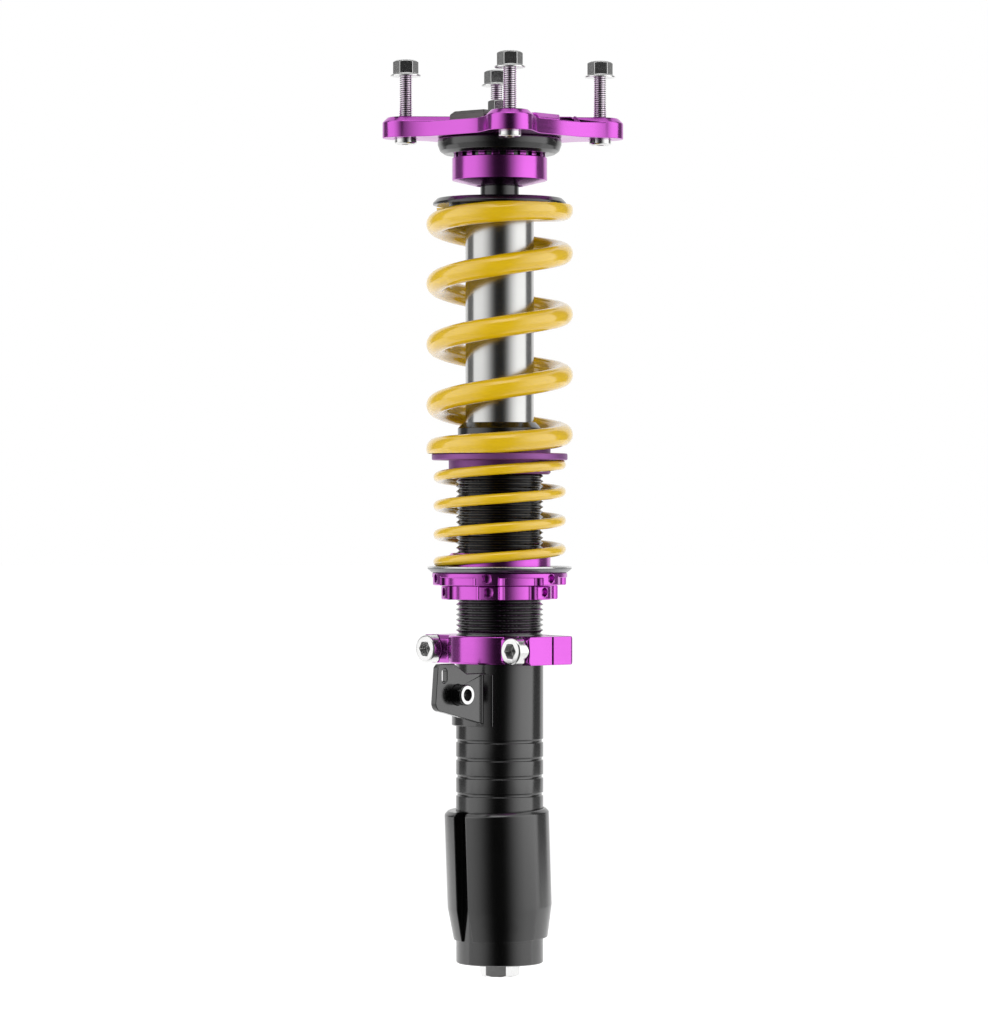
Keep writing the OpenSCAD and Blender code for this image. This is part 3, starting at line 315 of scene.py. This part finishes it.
bpy.context.scene.view_settings.view_transform = "Standard"
add_camera()
add_world()
add_floor()
add_wall()
add_board_under()
add_board_over()
add_lamps()


# ---- Finishes ----

def new_group(name, inputs, outputs):
    """An empty shader group with named number sockets, and its two ends."""
    group = bpy.data.node_groups.new(name, "ShaderNodeTree")
    for socket, value in inputs:
        made = group.interface.new_socket(name=socket, in_out="INPUT", socket_type="NodeSocketFloat")
        made.default_value = value
    for socket in outputs:
        group.interface.new_socket(name=socket, in_out="OUTPUT", socket_type="NodeSocketFloat")
    return group, group.nodes.new("NodeGroupInput"), group.nodes.new("NodeGroupOutput")


def make_grain_group():
    """Fine mottling of a blasted, plated or painted surface, with a slow cloud over it."""
    group, ins, outs = new_group("surface grain", [("Fine Scale", 900), ("Cloud Scale", 30)],
                                 ["Grain", "Cloud"])
    nodes, links = group.nodes, group.links
    where = nodes.new("ShaderNodeTexCoord")
    for scale, out, detail in (("Fine Scale", "Grain", 3), ("Cloud Scale", "Cloud", 2)):
        noise = nodes.new("ShaderNodeTexNoise")
        noise.inputs["Detail"].default_value = detail
        links.new(where.outputs["Object"], noise.inputs["Vector"])
        links.new(ins.outputs[scale], noise.inputs["Scale"])
        links.new(noise.outputs["Fac"], outs.inputs[out])
    return group


def make_turning_group():
    """Fine rings that a lathe or a grinder leaves across the strut's axis."""
    group, ins, outs = new_group("turning marks", [("Rings", 1400), ("Waver", 1.2)], ["Marks"])
    nodes, links = group.nodes, group.links
    where = nodes.new("ShaderNodeTexCoord")
    squeeze = nodes.new("ShaderNodeVectorMath")
    squeeze.operation = "MULTIPLY"
    squeeze.inputs[1].default_value = (0.02, 0.02, 1)
    links.new(where.outputs["Object"], squeeze.inputs[0])
    noise = nodes.new("ShaderNodeTexNoise")
    noise.inputs["Detail"].default_value = 2
    links.new(squeeze.outputs[0], noise.inputs["Vector"])
    links.new(ins.outputs["Rings"], noise.inputs["Scale"])
    links.new(ins.outputs["Waver"], noise.inputs["Distortion"])
    links.new(noise.outputs["Fac"], outs.inputs["Marks"])
    return group


GRAIN = make_grain_group()
TURNING = make_turning_group()
GRAIN_RANGE = (0.3, 0.7)  # where nearly all of a noise's values lie
CREST = "crest"  # the point attribute that holds how far a thread's point stands out from its root


def finish_material(name, dark, light, rough, metallic=0.0, coat=0.0, coat_rough=0.05, bump=0.05,
                    fine=900, cloud=30, turned=0, specular=0.5, height=0.0002, ior=1.5, crests=None):
    """A finish whose colour runs from dark to light with the cloud, or with the crest attribute over the
    range in crests, which paints shade into a thread's roots and a highlight onto its crests, and whose
    gloss follows the grain, or the turning marks where it has them."""
    mat = bpy.data.materials.new(name)
    mat.use_nodes = True
    nodes, links = mat.node_tree.nodes, mat.node_tree.links
    shader = nodes["Principled BSDF"]
    shader.inputs["Metallic"].default_value = metallic
    shader.inputs["Coat Weight"].default_value = coat
    shader.inputs["Coat Roughness"].default_value = coat_rough
    shader.inputs["Specular IOR Level"].default_value = specular
    shader.inputs["IOR"].default_value = ior
    grain = nodes.new("ShaderNodeGroup")
    grain.node_tree = GRAIN
    grain.inputs["Fine Scale"].default_value = fine
    grain.inputs["Cloud Scale"].default_value = cloud
    if crests:
        # Painted shade in a thread's roots and a painted highlight on its crests, by how far each point
        # stands out
        crest = nodes.new("ShaderNodeAttribute")
        crest.attribute_name = CREST
        colour = blend(nodes, links, crest.outputs["Fac"], *crests, dark, light)
    else:
        colour = blend(nodes, links, grain.outputs["Cloud"], *GRAIN_RANGE, dark, light)
    links.new(colour, shader.inputs["Base Color"])
    texture = grain.outputs["Grain"]
    if turned:
        marks = nodes.new("ShaderNodeGroup")
        marks.node_tree = TURNING
        marks.inputs["Rings"].default_value = turned
        texture = marks.outputs["Marks"]
    links.new(map_range(nodes, links, texture, *GRAIN_RANGE, *rough), shader.inputs["Roughness"])
    if bump:
        relief = nodes.new("ShaderNodeBump")
        relief.inputs["Strength"].default_value = bump
        relief.inputs["Distance"].default_value = height
        links.new(texture, relief.inputs["Height"])
        links.new(relief.outputs["Normal"], shader.inputs["Normal"])
    return mat


# For each finish: its dark and light colours, its least and greatest roughness, and the rest by name
FINISH = {
    "purple_anodised": finish_material("purple_anodised", (0.50, 0.098, 0.505), (0.54, 0.108, 0.545),
                                       (0.17, 0.22), metallic=1, bump=0.02, turned=1500, height=0.00005),
    "dull_purple": finish_material("dull_purple", (0.24, 0.08, 0.26), (0.28, 0.10, 0.31),
                                   (0.42, 0.5), metallic=0.8, bump=0.03, turned=1500, height=0.00005),
    "black_steel": finish_material("black_steel", (0.0008, 0.0008, 0.0008), (0.0016, 0.0016, 0.0016),
                                   (0.16, 0.21), bump=0.05, fine=1500, specular=0.95, height=0.00004,
                                   ior=1.56),
    "black_boss": finish_material("black_boss", (0.0008, 0.0008, 0.0008), (0.0016, 0.0016, 0.0016),
                                  (0.16, 0.21), bump=0.05, fine=1500, specular=0.95, height=0.00004,
                                  ior=1.5),
    "black_aluminium": finish_material("black_aluminium", (0.002, 0.002, 0.002), (0.003, 0.003, 0.003),
                                       (0.15, 0.21), bump=0.02, turned=1500, specular=0.9,
                                       height=0.00005),
    "grey_slider": finish_material("grey_slider", (0.085, 0.08, 0.08), (0.11, 0.10, 0.10),
                                   (0.3, 0.42), metallic=0.7, bump=0.05, height=0.0001),
    "plain_aluminium": finish_material("plain_aluminium", (0.62, 0.62, 0.63), (0.7, 0.7, 0.71),
                                       (0.28, 0.36), metallic=1, turned=1600),
    "dark_washer": finish_material("dark_washer", (0.14, 0.14, 0.145), (0.18, 0.18, 0.185),
                                   (0.2, 0.28), metallic=0.95, turned=1500, height=0.00005),
    "yellow_spring": finish_material("yellow_spring", (0.83, 0.525, 0.002), (0.88, 0.565, 0.004),
                                     (0.16, 0.2), coat=0.6, coat_rough=0.10, bump=0.015, fine=240,
                                     height=0.00005, specular=0.75),
    "polished_steel": finish_material("polished_steel", (0.50, 0.50, 0.49), (0.54, 0.54, 0.53),
                                      (0.17, 0.22), metallic=1, bump=0.02, turned=1800, height=0.00005),
    "zinc_steel": finish_material("zinc_steel", (0.68, 0.68, 0.675), (0.74, 0.74, 0.735),
                                  (0.16, 0.24), metallic=1, bump=0.02, fine=1200, height=0.00005),
    # Thread finish: a painted highlight on the crests and painted shade in the roots, by the crest
    # attribute, with a faint purple cast in both that is a painted reflection of the plate
    "thread_painted_shade": finish_material("thread_painted_shade", (0.16, 0.14, 0.165), (0.88, 0.84, 0.88),
                                     (0.2, 0.28), metallic=1, bump=0.02, height=0.00005,
                                     crests=(0.1, 0.6)),
    "spring_steel": finish_material("spring_steel", (0.4, 0.4, 0.41), (0.47, 0.47, 0.48),
                                    (0.3, 0.4), metallic=1),
    "bearing_bronze": finish_material("bearing_bronze", (0.42, 0.27, 0.11), (0.5, 0.33, 0.14),
                                      (0.32, 0.42), metallic=1, turned=1400),
    "band_plastic": finish_material("band_plastic", (0.2, 0.1, 0.05), (0.26, 0.14, 0.07), (0.5, 0.6)),
    "black_rubber": finish_material("black_rubber", (0.012, 0.012, 0.012), (0.02, 0.02, 0.02),
                                    (0.6, 0.75), bump=0.2),
    "bump_foam": finish_material("bump_foam", (0.6, 0.5, 0.22), (0.7, 0.6, 0.3), (0.75, 0.9), bump=0.4,
                                 fine=500),
}

SLOT_OF = {row["node"]: row["material_slot"] for row in frame["record"]["subparts"]}
BODY_OF = {node: body for body, nodes in frame["record"]["behaviour"]["bodies"].items() for node in nodes}
for node, obj in NODES.items():
    obj.data.materials.clear()
    obj.data.materials.append(FINISH[SLOT_OF[node]])


# ---- Modelling tools ----

# Distances, in metres, within which a CAD mesh's points are one, and a wound thread's
DOUBLES, THREAD_DOUBLES = 2e-6, 1e-6
# Faces within the first angle are one flat face; edges past the second are sharp
FLAT_ANGLE, SHARP_ANGLE = math.radians(0.3), math.radians(28)
MACHINED_SMOOTH = 40  # degrees up to which a machined part's shading runs on
# Least cosine of the angle between two directions that count as one, and that count as flat
SAME_WAY, LEVEL = 0.98, 0.995
# Their flat rings stay in triangles: as single faces they would be filled in across the bore.
KEEP_TRIANGLES = {"knuckle_collar", "strut_tube"}


def deselect():
    """Leaves edit mode and selects nothing."""
    if bpy.context.object and bpy.context.object.mode != "OBJECT":
        bpy.ops.object.mode_set(mode="OBJECT")
    bpy.ops.object.select_all(action="DESELECT")


def only(obj):
    """Makes an object the only one selected, and the active one."""
    deselect()
    obj.select_set(True)
    bpy.context.view_layer.objects.active = obj


def edit_all(obj):
    """Opens a mesh for editing with all of it selected."""
    only(obj)
    bpy.ops.object.mode_set(mode="EDIT")
    bpy.ops.mesh.select_all(action="SELECT")


def edit_picked(obj, kind, elements, wanted):
    """Opens a mesh for editing with only the wanted points, edges or faces selected."""
    only(obj)
    bpy.ops.object.mode_set(mode="EDIT")
    bpy.ops.mesh.select_mode(type=kind)
    bpy.ops.mesh.select_all(action="DESELECT")
    bpy.ops.object.mode_set(mode="OBJECT")
    for element in elements:
        element.select = wanted(element)
    bpy.ops.object.mode_set(mode="EDIT")


def apply_modifier(obj, kind, **settings):
    """Adds a modifier with these settings and applies it."""
    only(obj)
    modifier = obj.modifiers.new(kind.title(), kind)
    for key, value in settings.items():
        setattr(modifier, key, value)
    bpy.ops.object.modifier_apply(modifier=modifier.name)


def bevel_edges(obj, width, **settings):
    """Breaks a mesh's sharp edges by a width in millimetres."""
    apply_modifier(obj, "BEVEL", width=width * MM, segments=2, limit_method="ANGLE",
                   angle_limit=SHARP_ANGLE, use_clamp_overlap=False, **settings)


def cut_away(obj, height, upward):
    """Cuts off what lies above a height in millimetres, or below it, and closes the cut."""
    edit_all(obj)
    bpy.ops.mesh.bisect(plane_co=(0, 0, height * MM), plane_no=(0, 0, 1 if upward else -1),
                        use_fill=True, clear_outer=True)
    bpy.ops.object.mode_set(mode="OBJECT")


def reach_of(obj, below=math.inf):
    """How far a mesh reaches from the strut's axis, in metres, below a height."""
    return max(vertex.co.xy.length for vertex in obj.data.vertices if vertex.co.z < below)


def settle(obj, slot, body, *nodes, smooth=35, finish=None):
    """Puts a finished piece's place in its mesh, shades it, gives it its finish and its body."""
    only(obj)
    bpy.ops.object.transform_apply(location=True, rotation=True, scale=True)
    bpy.ops.object.shade_smooth_by_angle(angle=math.radians(smooth))
    obj.data.materials.clear()
    obj.data.materials.append(FINISH[finish or slot])
    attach(obj, body)
    if nodes:
        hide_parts(*nodes)
    return obj


def settle_machined(part, node):
    """Puts a machined copy in its CAD node's place, with flat faces shaded flat up to their edges."""
    settle(part, SLOT_OF[node], BODY_OF[node], node, smooth=MACHINED_SMOOTH)
    apply_modifier(part, "WEIGHTED_NORMAL", keep_sharp=True)
    return part


def merged_copy(name, node):
    """A separate copy of a CAD node's mesh, with its doubles merged and its flat faces joined."""
    copy = bpy.data.objects.new(name, NODES[node].data.copy())
    bpy.context.scene.collection.objects.link(copy)
    edit_all(copy)
    bpy.ops.mesh.remove_doubles(threshold=DOUBLES)
    if node not in KEEP_TRIANGLES:
        bpy.ops.mesh.dissolve_limited(angle_limit=FLAT_ANGLE)
    bpy.ops.object.mode_set(mode="OBJECT")
    return copy


# ---- Machined parts with broken edges ----

# Width of the broken edges of each machined node, in millimetres
EDGE_BREAKS = {
    "top_plate": 0.45, "camber_slider": 0.4, "carrier_ring": 0.35, "bearing_cup": 0.35, "upper_seat": 0.35,
    "seat_spacer": 0.3, "adjuster_ring": 0.3, "lock_ring": 0.3, "slip_ring": 0.45, "spring_coupler": 0.3,
    "clamp_front": 0.4, "clamp_rear": 0.4, "clamp_screws": 0.35, "link_bracket": 0.5, "bracket_boss": 0.25,
    "knuckle_collar": 0.5, "foot_bolt": 0.35, "gland_cap": 0.3, "flange_nuts": 0.25, "end_cap": 0.25,
    "slider_screws": 0.2,
}


def ease_edges(node, width):
    """A machined part with its sharp edges broken, as a file or a tumbler leaves them."""
    part = merged_copy(node + "_eased", node)
    bevel_edges(part, width, miter_outer="MITER_ARC")
    return settle_machined(part, node)


def point_spanner_holes(ring, depth=2.4):
    """The cone that a drill leaves at the bottom of each spanner hole, its depth in millimetres."""
    reach = reach_of(ring)
    nearest, farthest = reach - 4.4 * MM, reach - 2 * MM
    smallest, largest = 8 * MM ** 2, 24 * MM ** 2

    def is_hole_floor(face):
        """A round face, sized as the hole is and turned straight out, at the hole's depth."""
        out = face.center.xy.length
        faces_out = abs(face.normal.z) < 0.1 and face.normal.xy.dot(face.center.xy) > SAME_WAY * out
        return (faces_out and len(face.vertices) > 8 and nearest < out < farthest
                and smallest < face.area < largest)

    edit_picked(ring, "FACE", ring.data.polygons, is_hole_floor)
    bpy.ops.mesh.poke(offset=-depth * MM)
    bpy.ops.object.mode_set(mode="OBJECT")


def paint_rim_highlight(ring, finish, deep, inward):
    """A painted highlight: a bright bare-metal finish on the ring's top outer edge, as deep and as far
    inward, in millimetres, that stands in for the thin white line of light the edge catches."""
    ring.data.materials.append(FINISH[finish])
    top = max(vertex.co.z for vertex in ring.data.vertices)
    reach = reach_of(ring)
    for face in ring.data.polygons:
        on_edge = face.center.z > top - deep * MM and face.center.xy.length > reach - inward * MM
        if on_edge and face.normal.z < LEVEL:
            face.material_index = 1


def groove_edges(tube):
    """Numbers of the sharp edges on the tube's outside between the collar and the link bracket."""
    lowest, highest = high("knuckle_collar").z * MM, low("link_bracket").z * MM
    outside = reach_of(tube, below=highest) - 2 * MM
    sharp = set()
    mesh = bmesh.new()
    mesh.from_mesh(tube.data)
    for edge in mesh.edges:
        middle = (edge.verts[0].co + edge.verts[1].co) / 2
        if lowest < middle.z < highest and middle.xy.length > outside \
                and len(edge.link_faces) == 2 and edge.calc_face_angle() > SHARP_ANGLE:
            sharp.add(edge.index)
    mesh.free()
    return sharp


def break_groove_edges(width=0.4):
    """The tube with the rims of its marker grooves broken, and its thread left crisp."""
    tube = merged_copy("strut_tube_eased", "strut_tube")
    sharp = groove_edges(tube)
    edit_picked(tube, "EDGE", tube.data.edges, lambda edge: edge.index in sharp)
    bpy.ops.mesh.bevel(offset=width * MM, segments=2, clamp_overlap=False)
    bpy.ops.object.mode_set(mode="OBJECT")
    settle_machined(tube, "strut_tube")


eased = {node: ease_edges(node, width) for node, width in EDGE_BREAKS.items()}
for name in ("adjuster_ring", "lock_ring"):
    point_spanner_holes(eased[name])
# Painted highlight along the slip ring's top outer edge
paint_rim_highlight(eased["slip_ring"], "zinc_steel", deep=0.68, inward=0.9)
break_groove_edges()


# ---- Threaded studs ----

# An M8 bolt's thread, in millimetres
STUD_CREST = 4.0
STUD_PITCH = 1.25
STUD_DEPTH = 0.68
STUD_STEPS = 20
# How far under the plate's top the heads end and the threads begin, so that they overlap there
HEAD_END = 0.6
THREAD_START = 0.8
HEAD_BREAK = 0.3


def cut_thread(name, centre, bottom, top):
    """A vee thread wound up an axis from one vee of it, then cut square at both ends."""
    deselect()
    bpy.ops.mesh.primitive_plane_add(size=math.sqrt(2), rotation=(math.radians(90), math.radians(45), 0))
    thread = bpy.context.object
    thread.name = name
    bpy.ops.object.transform_apply(location=False, rotation=True, scale=False)
    edit_picked(thread, "VERT", thread.data.vertices, lambda vertex: vertex.co.x < -0.5)
    bpy.ops.mesh.delete(type="VERT")
    bpy.ops.object.mode_set(mode="OBJECT")
    thread.scale = (STUD_DEPTH * MM, 1, STUD_PITCH / 2 * MM)
    thread.location = ((STUD_CREST - STUD_DEPTH) * MM, 0, (bottom - STUD_PITCH) * MM)
    bpy.ops.object.transform_apply(location=True, rotation=False, scale=True)
    apply_modifier(thread, "SCREW", axis="Z", angle=TURN, screw_offset=STUD_PITCH * MM,
                   iterations=int((top - bottom) / STUD_PITCH) + 3, steps=STUD_STEPS,
                   render_steps=STUD_STEPS, use_merge_vertices=True, merge_threshold=THREAD_DOUBLES)
    cut_away(thread, bottom, upward=False)
    cut_away(thread, top, upward=True)
    edit_all(thread)
    bpy.ops.mesh.remove_doubles(threshold=THREAD_DOUBLES)
    bpy.ops.mesh.normals_make_consistent(inside=False)
    bpy.ops.object.mode_set(mode="OBJECT")
    thread.location = (*centre, 0)
    bpy.ops.object.transform_apply(location=True, rotation=False, scale=False)
    return thread


def loose_centres(node):
    """Centre in plan of each separate solid in a CAD node, in metres."""
    mesh = bmesh.new()
    mesh.from_mesh(NODES[node].data)
    bmesh.ops.remove_doubles(mesh, verts=mesh.verts, dist=DOUBLES)
    left, centres = set(mesh.verts), []
    while left:
        group, edge = set(), [next(iter(left))]
        while edge:
            vertex = edge.pop()
            if vertex in group:
                continue
            group.add(vertex)
            edge += [link.other_vert(vertex) for link in vertex.link_edges]
        left -= group
        xs, ys = [v.co.x for v in group], [v.co.y for v in group]
        centres.append(((min(xs) + max(xs)) / 2, (min(ys) + max(ys)) / 2))
    mesh.free()
    return sorted(centres)


def mark_crests(thread, centre):
    """Keeps how far each point stands out from the thread's root, which the finish turns into painted
    shade in the roots and a painted highlight on the crests.
    """
    crest = thread.data.attributes.new(CREST, "FLOAT", "POINT")
    for vertex, share in zip(thread.data.vertices, crest.data):
        out = (vertex.co.xy - Vector(centre)).length / MM
        share.value = min(1, max(0, (out - STUD_CREST + STUD_DEPTH) / STUD_DEPTH))


def make_studs():
    """The plate's studs: plain heads under it and cut threads above."""
    node = "stud_screws"
    plate_top, stud_tops = high("top_plate").z, high(node).z
    heads = merged_copy("stud_heads", node)
    cut_away(heads, plate_top - HEAD_END, upward=True)
    bevel_edges(heads, HEAD_BREAK)
    settle(heads, "zinc_steel", BODY_OF[node], node)
    threads = []
    for centre in loose_centres(node):
        thread = cut_thread("stud_threads", centre, plate_top - THREAD_START, stud_tops)
        mark_crests(thread, centre)
        threads.append(thread)
    deselect()
    for thread in threads:
        thread.select_set(True)
    bpy.context.view_layer.objects.active = threads[0]
    bpy.ops.object.join()
    # The threads' finish paints shade into the roots and a highlight onto the crests
    settle(threads[0], "zinc_steel", BODY_OF[node], node, finish="thread_painted_shade")


make_studs()


# ---- Bracket boss ----

def face_boss():
    """The machined face round the boss's tapped hole, a thin bright ring."""
    mount = next(row for row in frame["record"]["mounts"] if row["name"] == "link_hole")
    axis = Vector(mount["axis"])
    outer_r, inner_r = 5.4, mount["dims"]["r_mm"] + 0.1
    lift, thickness, edge_break = 0.06, 0.16, 0.05
    middle = Vector(mount["pos_m"]) + axis * (mount["dims"]["length_mm"] / 2 + lift) * MM
    deselect()
    bpy.ops.mesh.primitive_circle_add(vertices=72, radius=outer_r * MM, fill_type="NOTHING",
                                      location=middle, rotation=axis.to_track_quat("Z", "Y").to_euler())
    ring = bpy.context.object
    ring.name = "boss_face"
    edit_all(ring)
    bpy.ops.mesh.extrude_edges_move()
    bpy.ops.transform.resize(value=(inner_r / outer_r,) * 3)
    bpy.ops.mesh.select_all(action="SELECT")
    bpy.ops.mesh.normals_make_consistent(inside=False)
    bpy.ops.object.mode_set(mode="OBJECT")
    apply_modifier(ring, "SOLIDIFY", thickness=thickness * MM, offset=0)
    apply_modifier(ring, "BEVEL", width=edge_break * MM, segments=1, limit_method="ANGLE")
    settle(ring, "zinc_steel", BODY_OF["bracket_boss"])


face_boss()


# ---- Springs ----

TIP_ANGLE = math.radians(-4.5)  # where both wires would start round the strut, untrimmed
COIL_STEPS = 72  # to a turn


def grown(u, start, end):
    """Turns that a spring's lead has grown by at u turns, where it grows from start to end."""
    if u <= start:
        return 0.0
    if u >= end:
        return u - (start + end) / 2
    t = (u - start) / (end - start)
    return (end - start) * (t ** 3 - t ** 4 / 2)


def wire_rise(u, turns, end_lead, extra, start, end):
    """How far the wire has risen at u turns: slowly at both ends, faster by extra between them."""
    if u < turns / 2:
        return end_lead * u + extra * grown(u, start, end)
    whole = end_lead * turns + extra * (turns - start - end)
    return whole - end_lead * (turns - u) - extra * grown(turns - u, start, end)


def wind_spring(name, node, coil_d, wire, turns, end_lead, sink, start, end, first, last):
    """A round wire wound with closed ends, ground flat at both. It rises by end_lead a turn at its
    ends, starts sink too low and ends as much too high for the grinding, and its lead grows from start
    to end, in turns. The ground tips are cut short by first and last, in turns."""
    bottom, top = low(node).z, high(node).z
    length = top - bottom
    extra = (length + 2 * sink - wire - end_lead * turns) / (turns - start - end)
    radius = (coil_d - wire) / 2
    deselect()
    bpy.ops.curve.primitive_nurbs_path_add(radius=MM)
    coil = bpy.context.object
    coil.name = name
    coil.data.splines.clear()
    steps = int((turns - first - last) * COIL_STEPS)
    line = coil.data.splines.new("POLY")
    line.points.add(steps)
    for i, point in enumerate(line.points):
        u = first + (turns - first - last) * i / steps
        angle = TIP_ANGLE + TURN * u
        z = bottom + wire / 2 - sink + wire_rise(u, turns, end_lead, extra, start, end)
        point.co = (radius * math.cos(angle) * MM, radius * math.sin(angle) * MM, z * MM, 1)
    coil.data.dimensions = "3D"
    coil.data.twist_mode = "Z_UP"
    coil.data.bevel_depth = wire / 2 * MM
    coil.data.bevel_resolution = 7
    coil.data.use_fill_caps = True
    bpy.ops.object.convert(target="MESH")
    coil = bpy.context.object
    cut_away(coil, bottom, upward=False)
    cut_away(coil, top, upward=True)
    return coil


main_coil = wind_spring("main_coil", "main_spring", coil_d=86, wire=12.5, turns=5.5, end_lead=9.5,
                        sink=8.1, start=0.5, end=1.3, first=0.17, last=0.08)
settle(main_coil, "yellow_spring", "damper", "main_spring")
helper_coil = wind_spring("helper_coil", "helper_spring", coil_d=77.6, wire=6, turns=4.5, end_lead=3,
                          sink=2.3, start=0.3, end=0.8, first=0.17, last=0.17)
settle(helper_coil, "yellow_spring", "perch", "helper_spring")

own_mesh(main_coil)
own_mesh(helper_coil)
